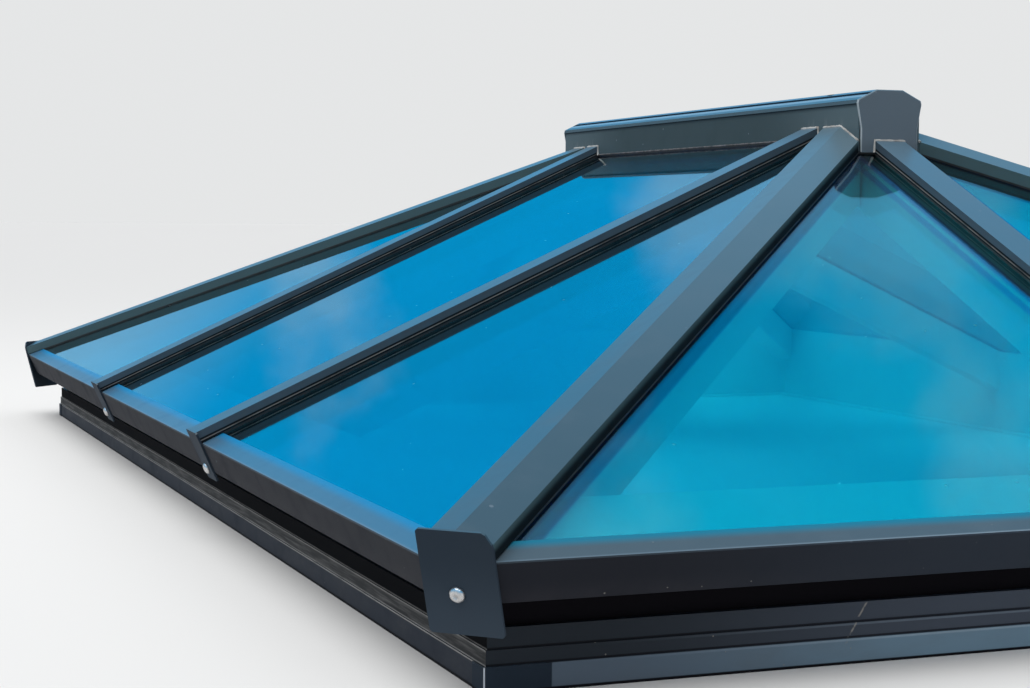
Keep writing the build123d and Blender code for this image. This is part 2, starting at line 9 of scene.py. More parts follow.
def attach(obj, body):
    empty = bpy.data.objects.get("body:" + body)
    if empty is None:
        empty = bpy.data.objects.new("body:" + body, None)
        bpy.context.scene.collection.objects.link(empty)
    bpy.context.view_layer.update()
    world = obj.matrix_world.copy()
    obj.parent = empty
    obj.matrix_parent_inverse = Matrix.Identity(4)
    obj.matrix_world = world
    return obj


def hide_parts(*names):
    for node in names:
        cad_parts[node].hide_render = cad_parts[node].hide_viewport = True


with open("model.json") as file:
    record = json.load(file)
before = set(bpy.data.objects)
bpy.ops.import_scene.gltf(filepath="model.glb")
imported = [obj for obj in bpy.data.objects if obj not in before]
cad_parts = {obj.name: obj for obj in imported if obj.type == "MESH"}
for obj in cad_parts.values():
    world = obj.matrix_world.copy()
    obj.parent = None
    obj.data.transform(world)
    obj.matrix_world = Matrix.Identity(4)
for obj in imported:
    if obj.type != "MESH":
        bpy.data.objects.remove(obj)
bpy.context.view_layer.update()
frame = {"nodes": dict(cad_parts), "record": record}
nodes = frame["nodes"]
slotOf = {part["node"]: part["material_slot"] for part in frame["record"]["subparts"]}
print("frame loaded:", len(nodes), "nodes")

# Sizes over the trims, in metres, that the patterns and the new pieces are placed by
roof = {"halfWidth": 1.025, "halfLength": 1.5, "eaves": 0.1392, "pitch": math.radians(24.4)}


def cornersOf(name):
    # Places of a node's corners, one row for each
    mesh = nodes[name].data
    corners = np.empty(len(mesh.vertices) * 3, dtype=np.float32)
    mesh.vertices.foreach_get("co", corners)
    return corners.reshape(-1, 3).astype(float)


# Camera, at the photograph's place, lens and tilt
cameraView = {
    "eye": (-1.5965, -3.1862, 0.4529),
    "yaw": 20.867,  # degrees from +Y towards +X
    "pitch": 3.574,  # degrees down
    "roll": 0.301,
    "lens": 69.2,
    "farthest": 500,
}


def makeCamera(view):
    yaw, pitch, roll = (math.radians(view[name]) for name in ("yaw", "pitch", "roll"))
    ahead = Vector((math.sin(yaw) * math.cos(pitch), math.cos(yaw) * math.cos(pitch), -math.sin(pitch)))
    level = Vector((math.cos(yaw), -math.sin(yaw), 0))
    above = level.cross(ahead)
    right = level * math.cos(roll) + above * math.sin(roll)
    up = right.cross(ahead)
    lens = bpy.data.cameras.new("camera")
    lens.lens = view["lens"]
    lens.clip_end = view["farthest"]
    camera = bpy.data.objects.new("camera", lens)
    camera.matrix_world = Matrix((right, up, -ahead)).transposed().to_4x4()
    camera.location = view["eye"]
    bpy.context.scene.collection.objects.link(camera)
    bpy.context.scene.camera = camera


makeCamera(cameraView)
print("camera placed")


# Helpers that add shader nodes and give back what the next one needs
def addNode(tree, kind, settings=None, **sockets):
    node = tree.nodes.new("ShaderNode" + kind)
    for name, value in (settings or {}).items():
        setattr(node, name, value)
    for name, value in sockets.items():
        plug(tree, node, name.replace("_", " "), value)
    return node


def plug(tree, node, name, value):
    # A socket, by name or as at0, at1 and so on, takes another node's output or a plain value
    socket = node.inputs[int(name[2:])] if name.startswith("at") else node.inputs[name]
    if isinstance(value, bpy.types.NodeSocket):
        tree.links.new(value, socket)
    elif hasattr(value, "__len__") and len(value) == 3 and socket.type == "RGBA":
        socket.default_value = (*value, 1)
    else:
        socket.default_value = value


def mathNode(tree, operation, *values):
    node = addNode(tree, "Math", {"operation": operation})
    for place, value in enumerate(values):
        plug(tree, node, "at" + str(place), value)
    return node.outputs[0]


def product(tree, first, *others):
    for other in others:
        first = mathNode(tree, "MULTIPLY", first, other)
    return first


def absolute(tree, value):
    return mathNode(tree, "ABSOLUTE", value)


def apartFrom(tree, value, level):
    # Distance between two values, whichever is larger
    return absolute(tree, mathNode(tree, "SUBTRACT", value, level))


def opposite(tree, mask):
    return mathNode(tree, "SUBTRACT", 1.0, mask)


def mixColor(tree, factor, low, high):
    return addNode(tree, "Mix", {"data_type": "RGBA"}, at0=factor, at6=low, at7=high).outputs[2]


def stretch(tree, value, low, high, toLow=0.0, toHigh=1.0):
    # Smooth step from one value at a level to another at a second level
    node = addNode(tree, "MapRange", {"interpolation_type": "SMOOTHSTEP"})
    for place, amount in enumerate((value, low, high, toLow, toHigh)):
        plug(tree, node, "at" + str(place), amount)
    return node.outputs[0]


def over(tree, value, level, blur):
    return stretch(tree, value, level - blur, level + blur)


def under(tree, value, level, blur):
    return stretch(tree, value, level + blur, level - blur)


def band(tree, value, low, high, blur):
    # 1 between two levels and 0 outside them, with soft edges
    return product(tree, over(tree, value, low, blur), under(tree, value, high, blur))


def split(tree, vector):
    return addNode(tree, "SeparateXYZ", Vector=vector).outputs


def objectPlace(tree):
    return addNode(tree, "TexCoord").outputs["Object"]


def placeOf(tree):
    return split(tree, objectPlace(tree))


def facingOf(tree):
    return split(tree, addNode(tree, "NewGeometry").outputs["Normal"])


def insetOf(tree):
    # How far inside the roof's long edges and ends a point lies: halfWidth - |x|, halfLength - |y|
    place = placeOf(tree)
    inX = mathNode(tree, "SUBTRACT", roof["halfWidth"], absolute(tree, place["X"]))
    inY = mathNode(tree, "SUBTRACT", roof["halfLength"], absolute(tree, place["Y"]))
    return inX, inY


# Shared effects: each is a node group round a function that takes the group's tree and inputs
def sharedEffect(name, gives, work, **takes):
    group = bpy.data.node_groups.new(name, "ShaderNodeTree")
    for label, value in takes.items():
        kind = "NodeSocketVector" if hasattr(value, "__len__") else "NodeSocketFloat"
        group.interface.new_socket(label, in_out="INPUT", socket_type=kind).default_value = value
    group.interface.new_socket(gives, in_out="OUTPUT", socket_type="NodeSocketFloat")
    entry = group.nodes.new("NodeGroupInput")
    result = group.nodes.new("NodeGroupOutput")
    group.links.new(work(group, entry.outputs), result.inputs[gives])
    return group


def useEffect(tree, group, **sockets):
    node = tree.nodes.new("ShaderNodeGroup")
    node.node_tree = group
    for name, value in sockets.items():
        plug(tree, node, name, value)
    return node.outputs[0]


def softPatches(tree, takes):
    # Noise that is stretched by a vector and cut between two levels
    scaled = addNode(
        tree, "VectorMath", {"operation": "MULTIPLY"}, at0=objectPlace(tree), at1=takes["Stretch"]
    )
    scale = mathNode(tree, "DIVIDE", 1.0, takes["Size"])
    noise = addNode(tree, "TexNoise", Vector=scaled.outputs[0], Scale=scale, Detail=5.0, Roughness=0.6)
    return stretch(tree, noise.outputs[0], takes["Low"], takes["High"])


def scatteredGrains(tree, takes):
    # Grains of dirt, each in its own cell, for a share of the cells and of uneven size
    scale = mathNode(tree, "DIVIDE", 1.0, takes["Size"])
    cells = addNode(tree, "TexVoronoi", Vector=objectPlace(tree), Scale=scale)
    chance = addNode(tree, "SeparateColor", Color=cells.outputs["Color"])
    chosen = mathNode(tree, "LESS_THAN", chance.outputs[0], takes["Share"])
    reach = mathNode(tree, "MULTIPLY", takes["Reach"], chance.outputs[1])
    return product(tree, chosen, mathNode(tree, "LESS_THAN", cells.outputs["Distance"], reach))


def lookingUp(tree, takes):
    # How far a face looks up, so that dust and light lie on it
    return stretch(tree, facingOf(tree)["Z"], takes["Low"], takes["High"])


def lookingSideways(tree, takes):
    # 1 on faces that look out along X, 0 on those that look along Y
    return stretch(tree, absolute(tree, facingOf(tree)["X"]), takes["Low"], takes["High"])


def heightAboveRoof(tree, takes):
    # Height square to the nearest slope,
    # (z - eaves) * cos(pitch) - min(halfWidth - |x|, halfLength - |y|) * sin(pitch)
    climb = mathNode(tree, "SUBTRACT", placeOf(tree)["Z"], roof["eaves"])
    climb = product(tree, climb, math.cos(roof["pitch"]))
    inset = product(tree, mathNode(tree, "MINIMUM", *insetOf(tree)), math.sin(roof["pitch"]))
    return mathNode(tree, "SUBTRACT", climb, inset)


def distanceUpSlope(tree, takes):
    # Distance from the roof's edge, min(halfWidth - |x|, halfLength - |y|) / cos(pitch)
    return product(tree, mathNode(tree, "MINIMUM", *insetOf(tree)), 1 / math.cos(roof["pitch"]))


def distanceFromHip(tree, takes):
    # Level distance from the nearest hip, |(halfWidth - |x|) - (halfLength - |y|)| / sqrt(2)
    return product(tree, apartFrom(tree, *insetOf(tree)), math.sqrt(0.5))


patches = sharedEffect("patches", "Mask", softPatches, Stretch=(1.0, 1.0, 1.0), Size=0.1, Low=0.4, High=0.6)
specks = sharedEffect("specks", "Mask", scatteredGrains, Size=0.02, Share=0.2, Reach=0.2)
upward = sharedEffect("upward", "Mask", lookingUp, Low=0.6, High=0.95)
sideways = sharedEffect("sideways", "Mask", lookingSideways, Low=0.35, High=0.65)
aboveRoof = sharedEffect("aboveRoof", "Height", heightAboveRoof)
inwards = sharedEffect("inwards", "Distance", distanceUpSlope)
besideHip = sharedEffect("besideHip", "Distance", distanceFromHip)
print("shared effects made")


def newMaterial(name):
    material = bpy.data.materials.new(name)
    material.use_nodes = True
    tree = material.node_tree
    return material, tree, tree.nodes["Principled BSDF"]


# Powder coat: satin slate grey with painted light and shade, paler where it faces up and paler
# still higher up there; glossier there by a clear layer, with a fine grain, dust that dulls it
# and scattered specks
coatLook = {
    "shade": (0.030, 0.045, 0.055),
    "chalk": (0.055, 0.090, 0.112),
    "bleached": (0.112, 0.174, 0.212),
    "bleach": (0.15, 0.62),  # heights between which the upward faces grow paler
    "lit": {"Low": 0.1, "High": 0.85},  # how far up a face looks in the shade and in full light
    "tone": {"Size": 0.35, "Low": 0.3, "High": 0.7},
    "uneven": 0.12,
    "dust": (0.20, 0.24, 0.28),
    "film": {"Size": 0.06, "Low": 0.45, "High": 0.75},
    "filmAmount": 0.08,
    "filmRoughness": 0.12,
    "grit": {"Size": 0.03, "Share": 0.25, "Reach": 0.09},
    "gritAmount": 0.5,
    "roughness": 0.33,
    "shadeRoughness": 0.66,
    "gloss": 0.08,
    "clearLayer": 0.55,
    "grain": 0.0011,
    "grainStrength": 0.12,
    "grainDepth": 0.0002,
}


def powderCoat(name, look, marks=None):
    material, tree, shader = newMaterial(name)
    lit = useEffect(tree, upward, **look["lit"])
    # Painted light and shade: faces that look up take the lit colour, paler higher up, and the others the
    # shade colour
    climb = stretch(tree, placeOf(tree)["Z"], *look["bleach"])
    color = mixColor(tree, lit, look["shade"], mixColor(tree, climb, look["chalk"], look["bleached"]))
    tone = useEffect(tree, patches, **look["tone"])
    color = mixColor(tree, product(tree, tone, look["uneven"]), color, look["shade"])
    film = useEffect(tree, patches, **look["film"])
    dusty = product(tree, film, useEffect(tree, upward), look["filmAmount"])
    color = mixColor(tree, dusty, color, look["dust"])
    grit = useEffect(tree, specks, **look["grit"])
    color = mixColor(tree, product(tree, grit, look["gritAmount"]), color, look["dust"])
    clearLayer = product(tree, lit, look["clearLayer"])
    rough = stretch(tree, lit, 0.0, 1.0, look["shadeRoughness"], look["roughness"])
    rough = mathNode(tree, "ADD", rough, product(tree, film, look["filmRoughness"]))
    if marks:
        color, matt = marks(tree, color)
        clearLayer = product(tree, clearLayer, opposite(tree, matt))
        rough = mathNode(tree, "MAXIMUM", rough, matt)
    grain = addNode(tree, "TexNoise", Vector=objectPlace(tree), Scale=1 / look["grain"], Detail=2.0)
    bump = addNode(
        tree, "Bump", Strength=look["grainStrength"], Distance=look["grainDepth"], Height=grain.outputs[0]
    )
    plug(tree, shader, "Base Color", color)
    plug(tree, shader, "Roughness", rough)
    plug(tree, shader, "Specular IOR Level", look["gloss"])
    plug(tree, shader, "Coat Weight", clearLayer)
    plug(tree, shader, "Coat Roughness", look["roughness"])
    plug(tree, shader, "Normal", bump.outputs[0])
    plug(tree, shader, "Coat Normal", bump.outputs[0])
    return material


# Each piece's marks change the coat's colour and say where it is dull

# Splashes: fine pale specks on the eaves
splashLook = {
    "grains": {"Size": 0.013, "Share": 0.4, "Reach": 0.075},
    "amount": 0.6,
    "color": (0.27, 0.26, 0.24),
}


def splashed(tree, color):
    grains = useEffect(tree, specks, **splashLook["grains"])
    return mixColor(tree, product(tree, grains, splashLook["amount"]), color, splashLook["color"])


# Eaves beams: white on the faces that look inwards, black in the recess as painted shade, black
# where the seal shows, partly the seal and partly painted contact shadow, pale slate at the foot.
# The long sides and the ends take their own colours for the light on each, painted light and
# shade: the upper band of the long sides is painted shade, and the ends' foot is paler with
# painted light. The long sides carry more dust than the ends, whose coat grows paler away from
# the corners as a painted reflection, with pale ledges as painted highlights. Levels are heights
# from the underside
beamMarks = {
    "halfWidth": 0.8880,  # inner faces of the beams
    "halfLength": 1.3630,
    "shelf": 0.085,
    "recess": 0.0632,
    "upperBand": 0.0424,
    "foot": 0.0267,
    "seal": 0.0030,
    "blur": 0.0005,
    "black": (0.0060, 0.0055, 0.0075),
    "endBands": (0.024, 0.030, 0.038),
    "endFoot": (0.094, 0.128, 0.170),
    "bloom": (0.87, 0.40),  # distances from the middle of an end
    "bloomBands": (0.070, 0.086, 0.114),
    "bloomFoot": (0.165, 0.265, 0.350),
    "jointAmount": 0.75,
    "ledge": (0.36, 0.46, 0.56),
    "ledgeHeight": 0.0026,
    "sideUpper": (0.0035, 0.0035, 0.0045),
    "sideLower": (0.036, 0.037, 0.038),
    "sideFoot": (0.032, 0.038, 0.050),
    "streak": (0.11, 0.11, 0.11),
    "streaks": {"Stretch": (1, 0.04, 1), "Size": 0.0035, "Low": 0.42, "High": 0.68},
    "line": (0.44, 0.44, 0.43),
    "lineHeight": 0.0021,
    "worn": {"Stretch": (1, 0.5, 1), "Size": 0.02, "Low": 0.25, "High": 0.6},
    "leastWorn": 0.55,
    # Level, strength of the pale line on the long sides, strength of the ledge highlight on the ends
    "edges": (("foot", 0.95, 0.5), ("upperBand", 0.6, 0.22)),
    "film": {"Stretch": (1, 1, 3), "Size": 0.12, "Low": 0.4, "High": 0.8},
    "filmAmount": 0.25,
}


def insideOfBeam(tree, place):
    look = beamMarks
    pastX = mathNode(tree, "SUBTRACT", absolute(tree, place["X"]), look["halfWidth"])
    pastY = mathNode(tree, "SUBTRACT", absolute(tree, place["Y"]), look["halfLength"])
    within = stretch(tree, mathNode(tree, "MAXIMUM", pastX, pastY), look["blur"], 0.0)
    top = mathNode(tree, "GREATER_THAN", place["Z"], look["shelf"])
    return mathNode(tree, "MAXIMUM", within, product(tree, top, useEffect(tree, upward)))


# One broken white run on the front of the beam
drip = {
    "top": (-0.537, 0.062),  # place along the front and height
    "foot": (-0.563, 0.022),
    "width": 0.0020,
    "blur": 0.001,
    "gaps": {"Size": 0.007, "Low": 0.40, "High": 0.58},
    "color": (0.30, 0.29, 0.27),
}


def dripOnBeam(tree, place):
    # It lies along x = topX + (footX - topX) * (topZ - z) / (topZ - footZ)
    (topX, topZ), (footX, footZ) = drip["top"], drip["foot"]
    fallen = mathNode(tree, "SUBTRACT", topZ, place["Z"])
    line = mathNode(tree, "MULTIPLY_ADD", fallen, (footX - topX) / (topZ - footZ), topX)
    across = stretch(tree, apartFrom(tree, place["X"], line), drip["width"], 0.0)
    along = band(tree, place["Z"], footZ, topZ, drip["blur"])
    front = mathNode(tree, "LESS_THAN", place["Y"], 0.0)
    return product(tree, across, along, front, useEffect(tree, patches, **drip["gaps"]))


def marksOnBeam(tree, color):
    look = beamMarks
    blur = look["blur"]
    place = placeOf(tree)
    height = place["Z"]
    onFoot = under(tree, height, look["foot"], blur)
    onUpper = over(tree, height, look["upperBand"], blur)
    # Painted reflection: the ends grow paler towards their middle
    bloom = stretch(tree, absolute(tree, place["X"]), *look["bloom"])
    bands = mixColor(tree, bloom, look["endBands"], look["bloomBands"])
    # Painted light: the ends' foot is paler than the long sides' foot
    ends = mixColor(tree, onFoot, bands, mixColor(tree, bloom, look["endFoot"], look["bloomFoot"]))
    # Fine lines of dried dirt along the lower band of the long sides
    sides = mixColor(tree, onFoot, look["sideLower"], look["sideFoot"])
    lower = band(tree, height, look["foot"], look["upperBand"], blur)
    streaks = product(tree, useEffect(tree, patches, **look["streaks"]), lower)
    sides = mixColor(tree, streaks, sides, look["streak"])
    # Painted shade: the upper band of the long sides is nearly black
    sides = mixColor(tree, onUpper, sides, look["sideUpper"])
    # Pale lines on the edges of the long sides; dark joints with pale ledges, painted highlights, on
    # the ends
    worn = useEffect(tree, patches, **look["worn"])
    worn = stretch(tree, worn, 0.0, 1.0, look["leastWorn"], 1.0)
    for name, lineAmount, ledgeAmount in look["edges"]:
        level = look[name]
        line = stretch(tree, apartFrom(tree, height, level), look["lineHeight"], 0.0)
        sides = mixColor(tree, product(tree, line, worn, lineAmount), sides, look["line"])
        joint = band(tree, height, level, level + look["lineHeight"], blur)
        ends = mixColor(tree, product(tree, joint, look["jointAmount"]), ends, look["black"])
        # Painted highlight: a pale ledge under each level on the ends
        ledge = band(tree, height, level - look["ledgeHeight"], level - blur, blur)
        ends = mixColor(tree, product(tree, ledge, bloom, ledgeAmount), ends, look["ledge"])
    ends = mixColor(tree, dripOnBeam(tree, place), ends, drip["color"])
    side = useEffect(tree, sideways)
    color = splashed(tree, mixColor(tree, side, ends, sides))
    film = product(tree, useEffect(tree, patches, **look["film"]), onFoot, look["filmAmount"])
    color = mixColor(tree, film, color, look["streak"])
    # Painted shade: black in the recess over the upper band
    deep = mathNode(tree, "GREATER_THAN", height, look["recess"])
    # Black along the seal at the bottom, partly the seal and partly painted contact shadow
    sealed = under(tree, height, look["seal"], blur)
    color = mixColor(tree, mathNode(tree, "MAXIMUM", deep, sealed), color, look["black"])
    inner = insideOfBeam(tree, place)
    matt = mathNode(tree, "MAXIMUM", deep, product(tree, side, onUpper))
    matt = product(tree, matt, opposite(tree, inner))
    return mixColor(tree, inner, color, whiteLook["shade"]), matt


# Eaves trims: nearly black faces in painted shade, a little paler with dust towards their lower
# edge; strips that shade from a pale fold, a painted highlight, to the blue of the glass beside
# them, a painted reflection. The strips of the long sides are bluer with painted sky reflection,
# and the ends' faces and folds grow paler towards the middle with painted reflection
trimMarks = {
    "dusty": (-0.020, -0.047),  # heights above the roof
    "dust": (0.038, 0.037, 0.044),
    "film": {"Size": 0.08, "Low": 0.2, "High": 0.7},
    "filmAmount": 0.45,
    "strip": {"Low": 0.3, "High": 0.85},
    "onSide": {"Low": 0.1, "High": 0.3},
    "bloomFace": (0.025, 0.033, 0.046),
    "bloomAmount": 0.9,
    "side": (0.052, 0.150, 0.250),
    "sideAmount": 0.75,
    "glow": (0.017, 0.033),  # distances in from the fold
    "endGlow": (0.002, 0.185, 0.290),
    "sideGlow": (0.000, 0.205, 0.440),
    "glowAmount": 0.9,
    "fold": (0.0045, 0.0012),
    "pale": (0.17, 0.23, 0.28),
    "bloomFold": (0.30, 0.38, 0.44),
    "foldAmount": 0.6,
}


def marksOnTrim(tree, color):
    look = trimMarks
    low = stretch(tree, useEffect(tree, aboveRoof), *look["dusty"])
    film = useEffect(tree, patches, **look["film"])
    color = mixColor(tree, product(tree, low, film, look["filmAmount"]), color, look["dust"])
    color = splashed(tree, color)
    strip = useEffect(tree, upward, **look["strip"])
    side = useEffect(tree, sideways, **look["onSide"])
    depth = useEffect(tree, inwards)
    # Painted reflection: the ends' faces and folds grow paler towards the middle
    bloom = stretch(tree, absolute(tree, placeOf(tree)["X"]), *beamMarks["bloom"])
    bloom = product(tree, bloom, opposite(tree, side))
    face = product(tree, bloom, opposite(tree, strip), look["bloomAmount"])
    color = mixColor(tree, face, color, look["bloomFace"])
    # Painted sky reflection: the strips of the long sides are bluer
    color = mixColor(tree, product(tree, strip, side, look["sideAmount"]), color, look["side"])
    # Painted reflection: the strips shade to the blue of the glass beside them
    glow = product(tree, strip, stretch(tree, depth, *look["glow"]), look["glowAmount"])
    color = mixColor(tree, glow, color, mixColor(tree, side, look["endGlow"], look["sideGlow"]))
    # Painted highlight: a pale line along the fold
    fold = product(tree, strip, stretch(tree, depth, *look["fold"]), look["foldAmount"])
    return mixColor(tree, fold, color, mixColor(tree, bloom, look["pale"], look["bloomFold"])), 0.0


# Bar caps: a thin pale line along the lip, dust with a painted highlight, between two dark lines
# of painted shadow.
# Levels are heights above the roof
barMarks = {
    "shadow": (0.0010, 0.0078),
    "dark": (0.005, 0.007, 0.009),
    "shadowAmount": 0.92,
    "lip": (0.0038, 0.0050),
    "pale": (0.20, 0.19, 0.18),
    "worn": {"Size": 0.04, "Low": 0.3, "High": 0.6},
    "leastWorn": 0.35,
    "blur": 0.0003,
}


def marksOnBar(tree, color):
    look = barMarks
    height = useEffect(tree, aboveRoof)
    # Painted shadow: dark lines above and below the lip
    shadow = band(tree, height, *look["shadow"], look["blur"])
    color = mixColor(tree, product(tree, shadow, look["shadowAmount"]), color, look["dark"])
    worn = useEffect(tree, patches, **look["worn"])
    worn = stretch(tree, worn, 0.0, 1.0, look["leastWorn"], 1.0)
    # A pale line of dust with a painted highlight along the lip
    lip = product(tree, band(tree, height, *look["lip"], look["blur"]), worn)
    return mixColor(tree, lip, color, look["pale"]), shadow


# Hip caps: their sides darken towards the glass, away from the side that the light comes from
hipMarks = {
    "low": (0.0165, 0.0070),  # heights above the roof
    "turned": (-0.2, 0.2),  # how far along X a side looks
    "dark": (0.003, 0.0045, 0.0055),
}


def marksOnHip(tree, color):
    look = hipMarks
    low = stretch(tree, useEffect(tree, aboveRoof), *look["low"])
    side = opposite(tree, useEffect(tree, upward, **coatLook["lit"]))
    turned = stretch(tree, facingOf(tree)["X"], *look["turned"])
    return mixColor(tree, product(tree, low, side, turned), color, look["dark"]), 0.0


# Ridge cap: a blue upper edge of painted sky reflection, a dark line of painted shade along it
# for a groove, a pale shoulder of painted light that darkens downwards into painted shade, and
# one lump of dirt. Distances are from the middle of the ridge
ridgeMarks = {
    "upper": (0.10, 0.19, 0.27),
    "groove": (0.0290, 0.0375),
    "blur": 0.0006,
    "dark": (0.004, 0.014, 0.026),
    "pale": (0.20, 0.30, 0.38),
    "shoulder": (0.0440, 0.0475),
    "under": (0.070, 0.120, 0.155),
    "lump": -0.445,  # place along the ridge
    "lumpSize": (0.012, 0.006),
    "lumpDepth": 0.0045,
    "dirt": (0.02, 0.02, 0.018),
}


def marksOnRidgeCap(tree, color):
    look = ridgeMarks
    place = placeOf(tree)
    out = absolute(tree, place["X"])
    # Painted light and shade: a pale shoulder that darkens downwards, a blue upper edge of painted sky
    # reflection and a dark line of painted groove shade
    shoulder = mixColor(tree, stretch(tree, out, *look["shoulder"]), look["pale"], look["under"])
    color = mixColor(tree, stretch(tree, out, *look["groove"]), look["upper"], shoulder)
    groove = band(tree, out, *look["groove"], look["blur"])
    color = mixColor(tree, groove, color, look["dark"])
    grooveTop = look["groove"][0]
    along = stretch(tree, apartFrom(tree, place["Y"], look["lump"]), *look["lumpSize"])
    dirt = product(tree, along, stretch(tree, out, grooveTop, grooveTop - look["lumpDepth"]))
    return mixColor(tree, dirt, color, look["dirt"]), mathNode(tree, "MAXIMUM", groove, dirt)


# Ridge housing: shadow under the lip, paler towards both ends, whitish runs over the hips
housingMarks = {
    "ends": (0.25, 0.58),  # distances from the middle of the ridge
    "pale": (0.082, 0.122, 0.142),
    "runs": {"Stretch": (1, 1, 0.1), "Size": 0.012, "Low": 0.5, "High": 0.72},
    "runsNear": (0.43, 0.54),
    "runsBlur": 0.02,
    "runsHeight": (0.618, 0.588),
    "runsAmount": 0.6,
    "white": (0.30, 0.32, 0.33),
    "shadow": (0.6230, 0.6330),  # heights
    "dark": (0.008, 0.018, 0.028),
}


def marksOnHousing(tree, color):
    look = housingMarks
    place = placeOf(tree)
    along = absolute(tree, place["Y"])
    color = mixColor(tree, stretch(tree, along, *look["ends"]), color, look["pale"])
    near = band(tree, along, *look["runsNear"], look["runsBlur"])
    low = stretch(tree, place["Z"], *look["runsHeight"])
    runs = product(tree, useEffect(tree, patches, **look["runs"]), near, low, look["runsAmount"])
    color = mixColor(tree, runs, color, look["white"])
    shadow = stretch(tree, place["Z"], *look["shadow"])
    return mixColor(tree, shadow, color, look["dark"]), shadow


# Ridge ends: a painted highlight, a little paler, along their bevelled sides
endMarks = {"bevel": {"Low": 0.3, "High": 0.55}, "pale": (0.34, 0.40, 0.44)}


def marksOnRidgeEnd(tree, color):
    # Painted highlight along the bevelled sides
    edge = useEffect(tree, sideways, **endMarks["bevel"])
    return mixColor(tree, edge, color, endMarks["pale"]), 0.0


# Corner plates and end plates: paler towards the foot
plateMarks = {"low": (0.150, 0.060), "pale": (0.040, 0.057, 0.078), "amount": 0.8}


def marksOnPlate(tree, color):
    low = stretch(tree, placeOf(tree)["Z"], *plateMarks["low"])
    return mixColor(tree, product(tree, low, plateMarks["amount"]), color, plateMarks["pale"]), 0.0


# Corner covers: a painted highlight on the outer corner; black at the seal, partly the seal and
# partly painted contact shadow
coverMarks = {"x": 0.9572, "y": 1.4322, "worn": (0.45, 0.50, 0.56)}


def marksOnCover(tree, color):
    place = placeOf(tree)
    pastX = mathNode(tree, "GREATER_THAN", absolute(tree, place["X"]), coverMarks["x"])
    pastY = mathNode(tree, "GREATER_THAN", absolute(tree, place["Y"]), coverMarks["y"])
    # Painted highlight on the outer corner
    color = mixColor(tree, product(tree, pastX, pastY), color, coverMarks["worn"])
    # Black along the seal, partly the seal and partly painted contact shadow
    sealed = under(tree, place["Z"], beamMarks["seal"], beamMarks["blur"])
    return mixColor(tree, sealed, color, beamMarks["black"]), 0.0


# The finish of each kind of piece, told by what it changes in the coat
whiteLook = dict(
    coatLook, shade=(0.76, 0.77, 0.76), chalk=(0.78, 0.79, 0.78), bleached=(0.78, 0.79, 0.78),
    dust=(0.6, 0.6, 0.58), gloss=0.4, clearLayer=0.1,
)
beamLook = dict(coatLook, roughness=0.42, clearLayer=0.12)
trimLook = dict(coatLook, shade=(0.0150, 0.0170, 0.0230), chalk=(0.080, 0.108, 0.125), gloss=0.07)
barLook = dict(
    coatLook, shade=(0.055, 0.083, 0.110), chalk=(0.056, 0.104, 0.138), bleached=(0.100, 0.176, 0.235)
)
hipLook = dict(coatLook, shade=(0.050, 0.090, 0.104))
ridgeLook = dict(coatLook, shade=(0.042, 0.066, 0.076), chalk=(0.10, 0.14, 0.17))
endLook = dict(coatLook, shade=(0.112, 0.148, 0.182), chalk=(0.12, 0.16, 0.19))
plateLook = dict(coatLook, shade=(0.021, 0.032, 0.046), uneven=0.4)
coverLook = dict(coatLook, shade=(0.018, 0.028, 0.042))
whiteCoat = powderCoat("whiteCoat", whiteLook)
capCoat = powderCoat("capCoat", coatLook)
coats = {
    "eaves_beam": powderCoat("beamCoat", beamLook, marksOnBeam),
    "eaves_trim": powderCoat("trimCoat", trimLook, marksOnTrim),
    "bar_cap": powderCoat("barCoat", barLook, marksOnBar),
    "hip_cap": powderCoat("hipCoat", hipLook, marksOnHip),
    "ridge_cap": powderCoat("ridgeCapCoat", ridgeLook, marksOnRidgeCap),
    "ridge_housing": powderCoat("housingCoat", ridgeLook, marksOnHousing),
    "ridge_end": powderCoat("ridgeEndCoat", endLook, marksOnRidgeEnd),
    "corner_plates": powderCoat("plateCoat", plateLook, marksOnPlate),
    "corner_covers": powderCoat("coverCoat", coverLook, marksOnCover),
}
coats["bar_end_plates"] = coats["corner_plates"]
print("coats made for", ", ".join(coats))


# Glass: blue-green solar coating, smooth, with a thin film of dust, dried runs and specks.
# The runs lie down the slope, so side panes and end panes stretch them differently. Beside the
# hips and the end bars a bluer line is painted in, a painted reflection of the caps
sideGlassLook = {
    "color": (0.05, 0.55, 0.69),
    "dusty": (0.50, 0.80, 0.86),
    "roughness": 0.008,
    "dustyRoughness": 0.3,
    "ior": 1.7,
    "through": (0.86, 0.95, 0.97),  # light that passes in shadows
    "film": {"Stretch": (1.0, 0.6, 1.0), "Size": 0.55, "Low": 0.47, "High": 0.75},
    "filmAmount": 0.7,
    "runs": {"Stretch": (0.08, 1, 0.08), "Size": 0.02, "Low": 0.58, "High": 0.8},
    "runsAmount": 0.2,
    "grit": {"Size": 0.045, "Share": 0.4, "Reach": 0.05},
    "hipEdge": (0.003, 0.10, 0.38),
    "hipBand": (0.0070, 0.0030),  # distances from the foot of the hip cap
    "hipAmount": 0.0,
    "barEdge": (0.10, 0.30, 0.68),
    "barBand": (0.047, 0.061),  # distances from the middle of the end bars
    "barBlur": 0.003,
}
endGlassLook = dict(
    sideGlassLook,
    color=(0.14, 0.75, 0.80),
    runs=dict(sideGlassLook["runs"], Stretch=(1, 0.08, 0.08)),
    filmAmount=0.22,
    hipAmount=0.9,
)


def hipReach(name):
    # Largest level distance of a hip cap's corners from the line of the hip
    x, y, _ = np.abs(cornersOf(name)).T
    return np.abs((x - roof["halfWidth"]) - (y - roof["halfLength"])).max() * math.sqrt(0.5)


